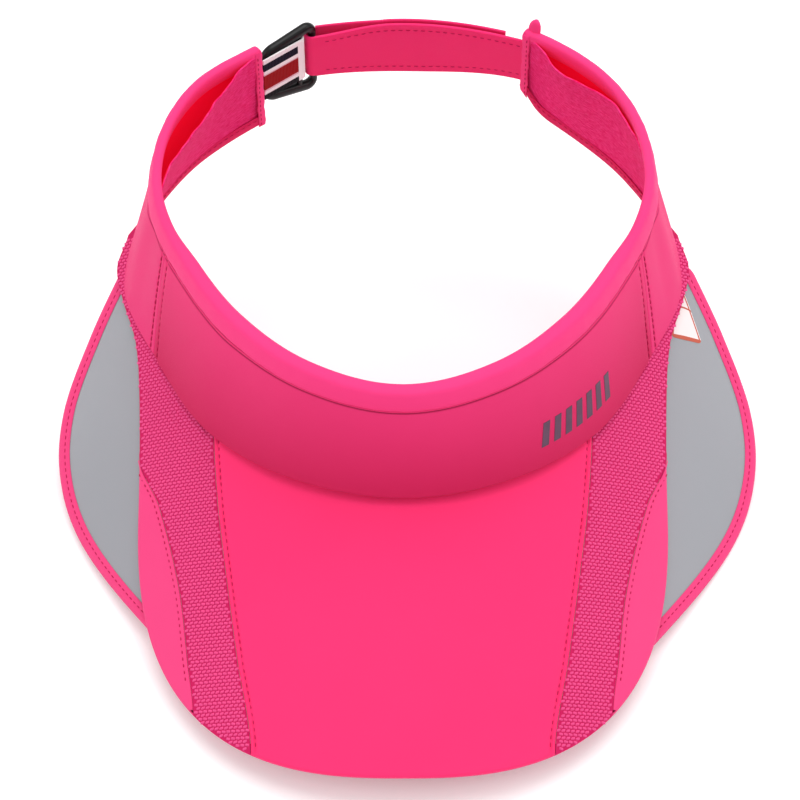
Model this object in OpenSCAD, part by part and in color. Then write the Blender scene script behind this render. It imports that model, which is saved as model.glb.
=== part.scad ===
/* [Head band] */
// Height of the band's top edge above the ground
band_top = 97.9; // [96:0.1:99]
// Distance of the head ring's centre behind the origin
ring_y = 58.2; // [55:0.1:60]
// Angle from the forehead to the left rear end of the band, degrees
left_end = 140; // [136:1:142]
// Angle from the forehead to the right rear end of the band, degrees
right_end = 148; // [144:1:150]
// Height of the rolled strip along the band's top edge
binding_h = 6; // [5:0.5:8]
// Thickness of the outer fabric with its backing
fabric_t = 0.9; // [0.7:0.1:1]
// How far the free top edge of the sweatband leans inward behind the ears
pocket_lean = 8; // [4:0.5:8.5]

/* [Brim] */
// Slope of the brim's crown line to its tip, degrees
brim_slope = 20; // [18:0.5:22]
// Radius of the brim's arch
arch_r = 175; // [170:1:185]
// Half the width of the brim
brim_w = 97; // [96:0.5:98]
// Length of the brim's top, from the forehead seam to its tip
brim_len = 104; // [100:0.5:106]
// Roundness of the brim's outline: 2 is an ellipse, more is squarer
brim_round = 2.54; // [2.4:0.02:2.7]
// Thickness of the board that stiffens the brim
board_t = 1.4; // [1:0.1:1.5]

/* [Lens] */
// Thickness of the sliding lens
lens_t = 0.8; // [0.7:0.1:0.9]
// How far the lens slides out of the brim
lens_travel = 58; // [40:1:60]
// Width of the fabric piping on the lens's edge
piping_w = 4.5; // [4:0.1:5]
// How far the lens and its guides sit to the right of the brim's middle
lens_shift = 1.8; // [0:0.1:2.5]
// Distance of each guide slot from the middle of the lens
slot_x = 42; // [38:1:46]

/* [Rear strap] */
// Width of the hook-and-loop strap
strap_h = 25; // [24:0.5:26]
// Radius of the strap's curve, seen from above
strap_r = 150; // [148:1:152]
// Width of the striped ribbon
ribbon_h = 21; // [19:0.5:21.5]
// Outside height of the slide buckle
buckle_h = 34; // [33:0.5:35]
// Radius of the buckle's bars
bar_r = 1.3; // [1.2:0.05:1.3]

/* [Hidden] */
$fn = 48;

PINK = [0.95, 0.22, 0.5];
DEEP_PINK = [0.85, 0.15, 0.4];
GREY = [0.6, 0.61, 0.63];
BLACK = [0.08, 0.08, 0.09];

gap = 0.1;              // between layers that are sewn together
clear = 0.35;           // between the lens and what it slides along
side_seam = [65, 72];   // angle of the band's side seams at the lower and the upper edge

// Top edge of the band seen from above: angle from the forehead, then radius
TOP_LEFT = [[0, 101], [20, 97], [40, 91.5], [62, 88.3], [90, 91.5], [120, 92.5], [142, 88]];
TOP_RIGHT = [[0, 101], [20, 97], [40, 91.5], [62, 88.3], [90, 91.5], [120, 93.5], [150, 91]];
// How much wider the lower edge is than the top edge
FLARE = [[0, 12], [20, 14], [42, 15.5], [65, 14], [85, 15.5], [100, 11], [115, 5], [130, 1], [150, 0]];
// Height of the band
DROP_LEFT = [[0, 44], [20, 45], [40, 49], [60, 49.5], [90, 49], [120, 43.5], [142, 38.5]];
DROP_RIGHT = [[0, 44], [20, 45], [40, 49], [60, 49.5], [90, 49], [120, 45], [138, 41], [143, 38],
    [150, 27.5]];
// Thickness of the outer panel, with the foam behind the forehead
CORE = [[0, 2.4], [60, 2.4], [74, 1], [150, 1]];
// Inward lean of the sweatband's top edge
LEAN_LEFT = [[0, 1.2], [84, 1.2], [86, 1.2], [110, 1.2 + pocket_lean], [124, 1 + pocket_lean],
    [138, 1.3], [142, 1.2]];
LEAN_RIGHT = [[0, 1.2], [90, 1.2], [92, 1.2], [114, 3.4], [133, 1 + pocket_lean], [146, 1.3],
    [150, 1.2]];

// Inner edge of the mesh insert: distance forward of the seam, then distance from the middle
MESH_IN = [[-32, 69], [0, 67], [30, 63], [60, 58.5], [95, 53]];
// Angle from the forehead at which that edge meets the band
mesh_turn = 41.9;
// Outer edge of the mesh insert
MESH_OUT = [[-21, 97.4], [0, 89], [32, 80.5], [60, 76.5], [80, 74]];
// How far the brim's rear edge lies inside the band's lower edge: angle from the forehead, then distance
TUCK = [[0, 6], [30, 5], [45, 3], [60, 1.2], [75, 0], [85, -0.3], [90, 0.8], [100, 3]];
// Side edge of the brim where it runs back beside the band
SIDE_EDGE = [[-112, 104.5], [-98, 108.8], [-84, 106], [-66, 100.3], [-43, 98], [0, brim_w]];
// Outer edge of the lens from its rear tip to the middle of its front
LENS_OUT = [[109, -96.5], [120, -74], [130, -46], [130.5, -20], [121, 7], [98.5, 38], [68, 70],
    [36, 86], [0, 91]];
// Rear edge of the lens, from its rear tip to the middle
LENS_IN = [[105.8, -94.5], [103.2, -82], [99.9, -68], [90, -48], [76, -25], [63, -9], [46, 3],
    [24, 10], [0, 12]];

sweat_t = 0.9;          // thickness of the sweatband
ring_x = -lens_shift;   // the head ring stands off-centre so that the lens is in the middle
seam_y = -107;          // forehead seam of the brim, ahead of the ring's centre
seam_drop = 46;         // forehead seam of the brim below the band's top edge
board_z = -fabric_t - gap;
lining_t = 0.6;
lining_z = board_z - board_t - gap;
piping_t = 2.3;
pocket_z = lining_z - lining_t;
lens_z = pocket_z - clear - (piping_t - lens_t) / 2;
under_t = 1;
under_z = pocket_z - piping_t - 2 * clear;
guide_w = 3;            // each guide bar's width,
guide_l = 6;            // its length
guide_t = 76;           // and how far forward of the seam its front end lies
guide_play = 0.5;       // room for the bar at each end and side of its slot

strap_y = 84;           // rearmost line of the strap behind the ring's centre
strap_x = -5;           // its distance from the middle
strap_z = band_top - 28.5;
strap_t = 1.4;
tail_t = 1.1;
patch_t = 0.5;
strap_ends = [-11.2, 19.8];
tail_ends = [-10.8, 17];
fold_in = 2.3;          // inside radius of the strap's fold around the buckle's bar
buckle_turn = 34;       // direction of the buckle from the X axis
ribbon_turn = 39;       // direction of the ribbon
ribbon_t = 0.8;
ribbon_in = bar_r + 0.3;
slide_bars = [-15.3, 6.4];   // outer bars of the buckle, along it from the ribbon's bar
ribbon_bar = [ring_x - 40.8, ring_y + 80];
strap_bar = ribbon_bar + slide_bars[1] * [cos(buckle_turn), sin(buckle_turn)];

// ---- curves ----

function mix(a, b, t) = a + (b - a) * t;
function steps(a, b, n) = [for (i = [0 : n]) mix(a, b, i / n)];

// Slope at point i of a curve through the points P, level at both ends
function slope(P, i) = i == 0 || i == len(P) - 1 ? 0
    : (P[i + 1][1] - P[i - 1][1]) / (P[i + 1][0] - P[i - 1][0]);

// Height at a of the smooth curve through the points P
function curve(P, a) = let (
    i = max([0, for (k = [0 : len(P) - 2]) if (P[k][0] <= a) k]),
    w = P[i + 1][0] - P[i][0],
    u = min(1, max(0, (a - P[i][0]) / w)))
    P[i][1] * (1 + 2 * u) * (1 - u) * (1 - u) + P[i + 1][1] * u * u * (3 - 2 * u)
    + w * u * (1 - u) * (slope(P, i) * (1 - u) - slope(P, i + 1) * u);

// Point at t (0 to 1) along a spline through the points P
function spline(P, t) = let (
    n = len(P) - 1,
    i = min(n - 1, floor(t * n)),
    u = t * n - i,
    a = P[max(0, i - 1)], b = P[i], c = P[i + 1], d = P[min(n, i + 2)])
    0.5 * (2 * b + (c - a) * u + (2 * a - 5 * b + 4 * c - d) * u * u
    + (3 * b - a - 3 * c + d) * u * u * u);

// ---- solids from grids of points ----

// Six times the volume inside the faces f of the points p
function volume6(p, f) = let (
    v = [for (q = f) for (k = [1 : len(q) - 2]) cross(p[q[0]], p[q[k]]) * p[q[k + 1]]])
    v * [for (x = v) 1];

// Four-sided faces cut into triangles, because their corners seldom lie in one plane
function split(faces) = [for (q = faces) each [[q[0], q[1], q[2]], [q[0], q[2], q[3]]]];

// Closed solid whose faces all turn outward, whichever way they were listed
module closed(points, faces) {
    out = volume6(points, faces) < 0;
    polyhedron(points, out ? faces : [for (q = faces) [for (k = [len(q) - 1 : -1 : 0]) q[k]]]);
}

// Sheet between two grids of points, one on each face
module sheet(near, far) {
    rows = len(near);
    cols = len(near[0]);
    back = rows * cols;
    at = function (i, j) i * cols + j;
    points = concat([for (r = near) each r], [for (r = far) each r]);
    closed(points, split(concat(
        [for (i = [0 : rows - 2]) for (j = [0 : cols - 2])
            each [[at(i, j), at(i + 1, j), at(i + 1, j + 1), at(i, j + 1)],
                [back + at(i, j), back + at(i, j + 1), back + at(i + 1, j + 1), back + at(i + 1, j)]]],
        [for (i = [0 : rows - 2]) for (j = [0, cols - 1]) let (
            q = [at(i, j), back + at(i, j), back + at(i + 1, j), at(i + 1, j)])
            j == 0 ? q : [q[3], q[2], q[1], q[0]]],
        [for (j = [0 : cols - 2]) for (i = [0, rows - 1]) let (
            q = [at(i, j), at(i, j + 1), back + at(i, j + 1), back + at(i, j)])
            i == 0 ? q : [q[3], q[2], q[1], q[0]]])));
}

// Bar swept through a row of closed loops of points
module swept(rings) {
    rows = len(rings);
    cols = len(rings[0]);
    closed([for (r = rings) each r], concat(
        split([for (i = [0 : rows - 2]) for (j = [0 : cols - 1]) let (k = (j + 1) % cols)
            [i * cols + j, (i + 1) * cols + j, (i + 1) * cols + k, i * cols + k]]),
        [[for (j = [0 : cols - 1]) j], [for (j = [cols - 1 : -1 : 0]) (rows - 1) * cols + j]]));
}

// ---- head band ----

function top_r(a) = a < 0 ? curve(TOP_LEFT, -a) : curve(TOP_RIGHT, a);
function low_r(a) = top_r(a) + curve(FLARE, abs(a));
function drop(a) = a < 0 ? curve(DROP_LEFT, -a) : curve(DROP_RIGHT, a);
function core(a) = curve(CORE, abs(a)) + gap;

// Point of the band: a degrees right of the forehead, s from 0 at the lower edge to 1 at the top edge,
// d inside the outer face
function band_pt(a, s, d) = let (r = mix(low_r(a), top_r(a), s) - d)
    [ring_x + r * sin(a), ring_y - r * cos(a), band_top - (1 - s) * drop(a)];

// The same with a height h up from the lower edge or, if negative, down from the top edge
function band_h(a, h, d) = band_pt(a, h < 0 ? 1 + h / drop(a) : h / drop(a), d);

// Depth of the sweatband's outer face
function sweat_d(a, s) = core(a) + s * (a < 0 ? curve(LEAN_LEFT, -a) : curve(LEAN_RIGHT, a));

// Panel of the band between two ends, each given as its angle at the lower and the upper edge
module band_panel(from, to, cols, d, t, low = 0, high = 1) {
    rows = steps(low, high, 4);
    grid = function (depth) [for (u = steps(0, 1, cols)) [for (s = rows)
        band_pt(mix(mix(from[0], from[1], s), mix(to[0], to[1], s), u), s, depth)]];
    sheet(grid(d), grid(d + t));
}

module band_front_panel() color(PINK)
    band_panel(-side_seam, side_seam, 40, 0, fabric_t);

module band_left_panel() color(PINK)
    band_panel([-left_end, -left_end], -side_seam - [0.1, 0.1], 20, 0, fabric_t);

module band_right_panel() color(PINK)
    band_panel(side_seam + [0.1, 0.1], [right_end, right_end], 22, 0, fabric_t);

module band_foam() color("white")
    band_panel([-59, -59], [59, 59], 32, fabric_t + gap, 1.3, 0.03, 0.97);

// Rolled strip over the top edge of every layer
module band_top_binding() color(PINK) {
    t = 0.7;
    low = -binding_h;
    swept([for (a = steps(-left_end, right_end, 72)) let (
        inner = core(a),
        loop = [[-t - gap, low], [-t - gap, t], [inner + t, t], [inner + t, low],
            [inner, low], [inner, gap], [-gap, gap], [-gap, low]])
        [for (q = loop) band_h(a, min(-0.001, q[1]), q[0]) + [0, 0, max(0, q[1])]]]);
}

// Moisture-wicking inner band, sewn down along its lower edge
module sweatband() color(DEEP_PINK) {
    grid = function (d) [for (a = steps(-left_end + 0.5, right_end - 0.5, 72))
        [for (s = steps(0.01, 0.95, 5)) band_pt(a, s, sweat_d(a, s) + d)]];
    sheet(grid(0), grid(sweat_t));
}

// Folded tape along the lower edge behind the brim
module hem(from, to) {
    inner = 3;
    t = 0.5;
    below = -0.4;
    loop = [[-t - gap, 2], [-t - gap, below - t], [inner + t, below - t], [inner + t, 4], [inner, 4],
        [inner, below], [-gap, below], [-gap, 2]];
    swept([for (a = steps(from, to, 14))
        [for (q = loop) band_h(a, max(0, q[1]), q[0]) + [0, 0, min(0, q[1])]]]);
}
module hem_left() color(DEEP_PINK) hem(2.2 - left_end, -98.5);
module hem_right() color(DEEP_PINK) hem(98.5, right_end - 2.2);

// Vertical tape that closes a rear end of the band; side is -1 on the left and 1 on the right
module end_facing(end, side) {
    leg = 3;
    inner = 3.6;
    outer = -0.9;
    t = 0.5;
    per_mm = 180 / PI / 88;
    loop = [[-leg, outer - t], [0.3 + t, outer - t], [0.3 + t, inner + t], [-leg, inner + t],
        [-leg, inner], [0.3, inner], [0.3, outer], [-leg, outer]];
    swept([for (s = steps(-0.015, 1, 6))
        [for (q = loop) band_pt(side * (end + q[0] * per_mm), s, q[1])]]);
}
module left_end_facing() color(PINK) end_facing(left_end, -1);
module right_end_facing() color(PINK) end_facing(right_end, 1);

// ---- brim ----

// Drop of the arch at a distance x from the middle: an arc, then straight on past the brim's width
function arch(x) = let (
    w = min(abs(x), brim_w),
    root = sqrt(arch_r * arch_r - w * w))
    root - arch_r - (abs(x) - w) * w / root;

// Point of the brim's arched surface: x from the middle, t forward of the seam, h off the surface
function brim_pt(x, t, h) = let (k = arch(x) + h)
    [ring_x + x, ring_y + seam_y - t * cos(brim_slope) - k * sin(brim_slope),
        band_top - seam_drop - t * sin(brim_slope) + k * cos(brim_slope)];

// Rear edge of the brim under the band, at an angle a from the forehead: [x, t]
function crown(a) = let (
    r = low_r(a) - curve(TUCK, abs(a)),
    x = r * sin(a),
    y = -r * cos(a))
    [x, (seam_y - y - arch(x) * sin(brim_slope)) / cos(brim_slope)];

// Half the brim's width at t
function edge_x(t) = t < 0 ? curve(SIDE_EDGE, t)
    : brim_w * pow(max(0, 1 - pow(t / brim_len, brim_round)), 1 / brim_round);

// How far forward the brim's outline lies at a distance x from the middle
function edge_t(x) = brim_len * pow(max(0, 1 - pow(abs(x) / brim_w, brim_round)), 1 / brim_round);

// Outline of the brim at an angle a from straight ahead: [x, t]
function outline(a, inset) = [
    (brim_w - inset) * sign(a) * pow(abs(sin(a)), 2 / brim_round),
    (brim_len - inset) * pow(abs(cos(a)), 2 / brim_round)];

// Layer of the brim over rows of [left point, right point], cut into cols columns
module brim_layer(rows, cols, h, t) {
    grid = function (k) [for (r = rows) [for (u = steps(0, 1, cols))
        let (q = mix(r[0], r[1], u)) brim_pt(q[0], q[1], k)]];
    sheet(grid(h), grid(h - t));
}

module brim_center_panel() color(PINK) {
    half = curve(MESH_IN, 95);
    tip = edge_t(half);
    cols = steps(-1, 1, 24);
    grid = function (h) [for (u = cols) let (
        rear = crown(mesh_turn * u),
        bow = rear[0] - u * curve(MESH_IN, rear[1]))
        [for (v = steps(0, 1, 8)) let (t = mix(rear[1], edge_t(u * half), v))
            brim_pt(u * curve(MESH_IN, min(tip, t)) + (1 - v) * bow, t, h)]];
    sheet(grid(0), grid(-fabric_t));
}

// Mesh insert and the tail of it that runs back beside the band
module brim_mesh(side) {
    seam = 0.15;
    inner = curve(MESH_IN, 95);
    tip = edge_t(inner);
    corner = 78;
    bulge = function (u) edge_t(mix(inner, curve(MESH_OUT, corner), u)) - mix(tip, corner, u);
    front = [for (v = steps(0, 1, 12)) let (a = mix(tip, crown(mesh_turn)[1], v), b = mix(corner, -21, v))
        [for (u = steps(0, 1, 5)) let (
            q = mix([curve(MESH_IN, a) + seam, a], [curve(MESH_OUT, b), b], u))
            [q[0], q[1] + max(0, 1 - 4 * v) * bulge(u)]]];
    rear = [for (v = steps(0, 1, 12)) if (v > 0) let (b = mix(-21, -110, v))
        [for (u = steps(0, 1, 5)) mix(crown(mix(mesh_turn, 97, v)), [edge_x(b), b], u)]];
    grid = function (h) [for (r = concat(front, rear)) [for (q = r) brim_pt(side * q[0], q[1], h)]];
    sheet(grid(0), grid(-fabric_t));
}
module brim_mesh_left() color(DEEP_PINK) brim_mesh(-1);
module brim_mesh_right() color(DEEP_PINK) brim_mesh(1);

// Smooth edge panel outside the mesh
module brim_side(side) {
    seam = 0.15;
    rows = [for (t = steps(-19, 77, 16)) let (x = curve(MESH_OUT, t) + seam)
        [[side * x, t], [side * max(edge_x(t), x + 0.4), t]]];
    brim_layer(rows, 2, 0, fabric_t);
}
module brim_side_left() color(PINK) brim_side(-1);
module brim_side_right() color(PINK) brim_side(1);

// Full layer of the brim from its crown line to its outline
module brim_full(h, t, inset) {
    cols = steps(-1, 1, 36);
    grid = function (k) [for (u = cols) let (a = crown(73 * u), b = outline(90 * u, inset))
        [for (v = steps(0, 1, 6)) let (q = mix(a, b, v)) brim_pt(q[0], q[1], k)]];
    sheet(grid(h), grid(h - t));
}
module brim_stiffener() color("white") brim_full(board_z, board_t, 3.4);
module brim_lining() color(DEEP_PINK) brim_full(lining_z, lining_t, 0.5);
module brim_under_panel() color(DEEP_PINK) brim_full(under_z, under_t, 1);

// Sewn bars between the lining and the under panel that the lens slides along
module lens_guides() color(DEEP_PINK) {
    low = under_z + gap + 0.3;
    for (side = [-1, 1])
        translate([ring_x, ring_y + seam_y, band_top - seam_drop]) rotate([brim_slope, 0, 0])
            translate([lens_shift + side * slot_x - guide_w / 2, -guide_t,
                low + arch(lens_shift + side * slot_x)])
                cube([guide_w, guide_l, pocket_z - gap - 0.5 - low]);
}

// Tape that joins the rear edges of the brim's layers to the band's lower edge
module crown_tape() color(DEEP_PINK) {
    t = 0.9;
    reach = 74;
    away = 0.6;
    behind = function (p) [norm([p[0] - ring_x, p[1] - ring_y]) - away, p[2]];
    swept([for (a = steps(-reach, reach, 48)) let (
        q = crown(a),
        inside = [for (s = [0.08, 0]) behind(band_pt(a, s, sweat_d(a, s) + sweat_t))],
        top = behind(brim_pt(q[0], q[1], 0.3)),
        rims = [inside[0], inside[1], [min(inside[1][0], top[0]), top[1]],
            behind(brim_pt(q[0], q[1], under_z - under_t))])
        [for (p = concat(rims, [for (i = [3 : -1 : 0]) rims[i] - [t, 0]]))
            [ring_x + p[0] * sin(a), ring_y - p[0] * cos(a), p[1]]]]);
}

// ---- lens ----

// Point of the lens's outer edge at u from -1 at the left tip to 1 at the right tip: [x, t]; its rear edge
// lies as close to the brim on the right as on the left
function lens_out(u) = let (q = spline(LENS_OUT, 1 - abs(u))) [lens_shift + q[0] * sign(u), q[1]];
function lens_in(u) = let (q = spline(LENS_IN, 1 - abs(u)))
    [(u > 0 ? 0 : lens_shift) + q[0] * sign(u), q[1]];

module lens() color(GREY) difference() {
    union() {
        cols = steps(-1, 1, 64);
        grid = function (h) [for (u = cols) [for (v = steps(0, 1, 5))
            let (q = mix(lens_in(u), lens_out(u), v)) brim_pt(q[0], q[1], h)]];
        sheet(grid(lens_z), grid(lens_z - lens_t));
    }
    for (side = [-1, 1])
        translate([ring_x, ring_y + seam_y, band_top - seam_drop]) rotate([brim_slope, 0, 0])
            translate([lens_shift + side * slot_x - guide_w / 2 - guide_play, -guide_t - guide_play,
                arch(slot_x) + lens_z - 8])
                cube([guide_w + 2 * guide_play, guide_l + lens_travel + 2 * guide_play, 16]);
}

// Fabric piping folded over the lens's outer edge
module lens_piping() color(PINK) {
    depth = piping_w - 0.9;
    mid = lens_z - lens_t / 2;
    half = piping_t / 2;
    slit = lens_t / 2 + 0.05;
    loop = [[-depth, half], [0.5, half], [0.9, half / 2], [0.9, -half / 2], [0.5, -half], [-depth, -half],
        [-depth, -slit], [0.05, -slit], [0.05, slit], [-depth, slit]];
    swept([for (u = steps(-1, 1, 72)) let (
        p = lens_out(u),
        d = lens_out(min(1, u + 0.01)) - lens_out(max(-1, u - 0.01)),
        n = [-d[1], d[0]] / norm(d))
        [for (q = loop) let (w = p + q[0] * n) brim_pt(w[0], w[1], mid + q[1])]]);
}

// Blank peel-off label near the rear of the right wing
module lens_label() color("white") {
    t = 0.15;
    rows = [for (v = steps(0, 1, 4)) let (y = mix(-88.5, -69.5, v))
        [[mix(103.5, 100.6, v), y], [mix(107, 113.5, v), y]]];
    brim_layer(rows, 2, lens_z + t, t);
}

// ---- decoration ----

// Row of slanted bars on the right of the forehead
module print_bars() color("dimgray") {
    count = 7;
    pitch = 3;
    wide = 1.7;
    low = 0.17;
    lean = 6;
    for (i = [0 : count - 1]) {
        a = 27.5 + i * pitch;
        grid = function (d) [for (u = [0, 1]) [for (s = steps(low, 0.37, 3))
            band_pt(a + u * wide + lean * (s - low), s, d)]];
        sheet(grid(-0.3), grid(-0.05));
    }
}

// ---- rear strap ----

// Point of the strap: phi degrees round its curve, d outside its middle line, z up
function strap_pt(phi, d, z) = [ring_x + strap_x + (strap_r + d) * sin(phi),
    ring_y + strap_y - strap_r + (strap_r + d) * cos(phi), z];

// The strap's top edge dips a little where it passes through the buckle
function strap_top(phi) = strap_z + strap_h - curve([[-11, 4], [0, 0], [20, 0]], phi);

// Its lower edge rises towards the band's right end
function strap_low(phi) = strap_z + curve([[-11, 0], [4, 0], [20, 4]], phi);

// Distance of the tail's middle line outside the strap's: it comes down from the fold, then lies flat
function tail_d(phi) = curve([[-11, fold_in * 2 + tail_t + 0.15], [-2, 2.65], [0, 2.65], [20, 2.65]], phi);

// Stretch of webbing between two angles, from d = near(phi) to far(phi)
module strap_piece(from, to, near, far, inset = 0) {
    grid = function (f) [for (phi = steps(from, to, 16)) [for (s = steps(0, 1, 2))
        strap_pt(phi, f(phi), mix(strap_low(phi) + inset, strap_top(phi) - inset, s))]];
    sheet(grid(near), grid(far));
}

module strap_main() color(PINK)
    strap_piece(strap_ends[0], strap_ends[1], function (phi) -strap_t / 2, function (phi) strap_t / 2);

module strap_loop_patch() color(DEEP_PINK)
    strap_piece(-3, 16, function (phi) strap_t / 2 + 0.05, function (phi) strap_t / 2 + 0.05 + patch_t, 2);

module strap_hook_patch() color(DEEP_PINK)
    strap_piece(5, 15, function (phi) tail_d(phi) - tail_t / 2 - 0.05 - patch_t,
        function (phi) tail_d(phi) - tail_t / 2 - 0.05, 3);

module strap_tail() color(PINK)
    strap_piece(tail_ends[0], tail_ends[1], function (phi) tail_d(phi) - tail_t / 2,
        function (phi) tail_d(phi) + tail_t / 2);

// Half ring around a vertical bar, opening towards its own +X, with a short leg on each side
module half_fold(inner, t, h, front_leg, back_leg) linear_extrude(h) {
    difference() {
        circle(inner + t);
        circle(inner);
        translate([0, -2 * inner - t]) square(4 * inner + 2 * t);
    }
    translate([0, -inner - t]) square([front_leg, t]);
    translate([0, inner]) square([back_leg, t]);
}

// Where the strap turns back round the buckle's bar
module strap_fold() color(PINK)
    translate([strap_bar[0], strap_bar[1], strap_z + 0.5]) rotate(11.5)
        half_fold(fold_in, tail_t, strap_h - 4.5, 0.7, 1.2);

// Striped ribbon sewn into the left end of the band and round the buckle's middle bar
module webbing_tab() color("firebrick")
    translate([ribbon_bar[0], ribbon_bar[1], strap_z + 1]) rotate(ribbon_turn + 180)
        half_fold(ribbon_in, ribbon_t, ribbon_h, 6, 18.5);

// Slide buckle: two rails joined by three round bars
module buckle_loop() color(BLACK)
    translate([ribbon_bar[0], ribbon_bar[1], band_top - 36]) rotate(buckle_turn) {
        rail = 3.4;
        for (z = [0, buckle_h - rail]) translate([0, 0, z]) {
            translate([slide_bars[0], -bar_r, 0]) cube([slide_bars[1] - slide_bars[0], 2 * bar_r, rail]);
            for (x = slide_bars) translate([x, 0, 0]) cylinder(h = rail, r = bar_r);
        }
        for (x = [slide_bars[0], 0, slide_bars[1]]) translate([x, 0, rail / 2])
            cylinder(h = buckle_h - rail, r = bar_r);
    }

band_front_panel();
band_left_panel();
band_right_panel();
band_top_binding();
band_foam();
sweatband();
hem_left();
hem_right();
left_end_facing();
right_end_facing();
crown_tape();
brim_center_panel();
brim_mesh_left();
brim_mesh_right();
brim_side_left();
brim_side_right();
brim_stiffener();
brim_lining();
brim_under_panel();
lens_guides();
lens();
lens_piping();
lens_label();
print_bars();
webbing_tab();
buckle_loop();
strap_fold();
strap_main();
strap_loop_patch();
strap_tail();
strap_hook_patch();
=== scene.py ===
import math

import bpy
import numpy as np
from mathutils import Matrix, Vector


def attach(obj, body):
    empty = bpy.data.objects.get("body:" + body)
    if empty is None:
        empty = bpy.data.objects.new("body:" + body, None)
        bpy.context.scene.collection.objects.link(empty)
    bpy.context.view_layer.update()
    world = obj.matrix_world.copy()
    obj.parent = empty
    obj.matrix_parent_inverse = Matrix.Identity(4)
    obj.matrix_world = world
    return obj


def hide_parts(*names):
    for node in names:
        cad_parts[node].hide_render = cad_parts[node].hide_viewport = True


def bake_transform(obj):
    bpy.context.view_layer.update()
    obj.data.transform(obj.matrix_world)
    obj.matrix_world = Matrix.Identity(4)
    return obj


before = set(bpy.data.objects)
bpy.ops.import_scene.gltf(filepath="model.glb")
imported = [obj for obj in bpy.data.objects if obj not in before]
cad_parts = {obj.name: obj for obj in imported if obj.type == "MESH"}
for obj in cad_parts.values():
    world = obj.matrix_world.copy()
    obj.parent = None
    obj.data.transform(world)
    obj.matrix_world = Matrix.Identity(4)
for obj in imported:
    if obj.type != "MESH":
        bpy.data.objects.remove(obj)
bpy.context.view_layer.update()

# ---- the visor's dimensions, in millimetres, as in the CAD model ----

BAND_TOP = 97.9
RING_Y = 58.2
LEFT_END, RIGHT_END = 140.0, 148.0
SLOPE = math.radians(20)
ARCH_R = 175.0
BRIM_W, BRIM_LEN, BRIM_ROUND = 97.0, 104.0, 2.54
LENS_SHIFT = 1.8
RING_X = -LENS_SHIFT
SEAM_Y, SEAM_DROP = -107.0, 46.0
SIDE_SEAM = (65.0, 72.0)
LENS_T, LENS_Z = 0.8, -4.2
LENS_TRAVEL, SLOT_X = 58.0, 42.0
TIP_R, TIP_TURN = 4.5, 80.0      # how the piping turns in behind each rear tip of the lens
GUIDE_W, GUIDE_L, GUIDE_T, GUIDE_PLAY = 3.0, 6.0, 76.0, 0.5
UNDER_Z = -6.1
STRAP_R, STRAP_X, STRAP_Y = 150.0, -5.0, 84.0
STRAP_H, STRAP_Z = 25.0, BAND_TOP - 28.5
BUCKLE_TURN, RIBBON_TURN = math.radians(34), math.radians(39)
BAR_R, FOLD_IN = 1.3, 2.3
SLIDE_BARS = (-15.3, 6.4)
BUCKLE_H, BUCKLE_DROP = 34.0, 36.0
BAND_H = 46.0                    # the band's usual height, which its UVs run over
TOP_SEAMS = (7.0, 8.5)           # lines of stitches below its top edge
RIBBON_BAR = np.array([RING_X - 40.8, RING_Y + 80])

TOP_LEFT = [[0, 101], [20, 97], [40, 91.5], [62, 88.3], [90, 91.5], [120, 92.5], [142, 88]]
TOP_RIGHT = [[0, 101], [20, 97], [40, 91.5], [62, 88.3], [90, 91.5], [120, 93.5], [150, 91]]
FLARE = [[0, 12], [20, 14], [42, 15.5], [65, 14], [85, 15.5], [100, 11], [115, 5], [130, 1], [150, 0]]
DROP_LEFT = [[0, 44], [20, 45], [40, 49], [60, 49.5], [90, 49], [120, 43.5], [142, 38.5]]
DROP_RIGHT = [[0, 44], [20, 45], [40, 49], [60, 49.5], [90, 49], [120, 45], [138, 41], [143, 38], [150, 27.5]]
CORE = [[0, 2.4], [60, 2.4], [74, 1], [150, 1]]
LEAN_LEFT = [[0, 1.2], [84, 1.2], [86, 1.2], [110, 9.2], [124, 9], [138, 1.3], [142, 1.2]]
LEAN_RIGHT = [[0, 1.2], [90, 1.2], [92, 1.2], [114, 3.4], [133, 9], [146, 1.3], [150, 1.2]]
MESH_TURN = 41.9
MESH_IN = [[-32, 69], [0, 67], [30, 63], [60, 58.5], [95, 53]]
MESH_OUT = [[-21, 97.4], [0, 89], [32, 80.5], [60, 76.5], [80, 74]]
TUCK = [[0, 6], [30, 5], [45, 3], [60, 1.2], [75, 0], [85, -0.3], [90, 0.8], [100, 3]]
SIDE_EDGE = [[-112, 104.5], [-98, 108.8], [-84, 106], [-66, 100.3], [-43, 98], [0, BRIM_W]]
LENS_OUT = [[109, -96.5], [120, -74], [130, -46], [130.5, -20], [121, 7], [98.5, 38], [68, 70], [36, 86], [0, 91]]
LENS_IN = [[105.8, -94.5], [103.2, -82], [99.9, -68], [90, -48], [76, -25], [63, -9], [46, 3], [24, 10], [0, 12]]


# ---- curves and surfaces ----

def curve(points, a):
    """Smooth curve through the points, as the CAD model draws it."""
    p = np.array(points, float)
    a = np.asarray(a, float)
    i = np.clip(np.searchsorted(p[:, 0], a, "right") - 1, 0, len(p) - 2)
    m = np.zeros(len(p))
    m[1:-1] = (p[2:, 1] - p[:-2, 1]) / (p[2:, 0] - p[:-2, 0])
    w = p[i + 1, 0] - p[i, 0]
    u = np.clip((a - p[i, 0]) / w, 0, 1)
    return (p[i, 1] * (1 + 2 * u) * (1 - u) ** 2 + p[i + 1, 1] * u * u * (3 - 2 * u)
            + w * u * (1 - u) * (m[i] * (1 - u) - m[i + 1] * u))


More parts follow.
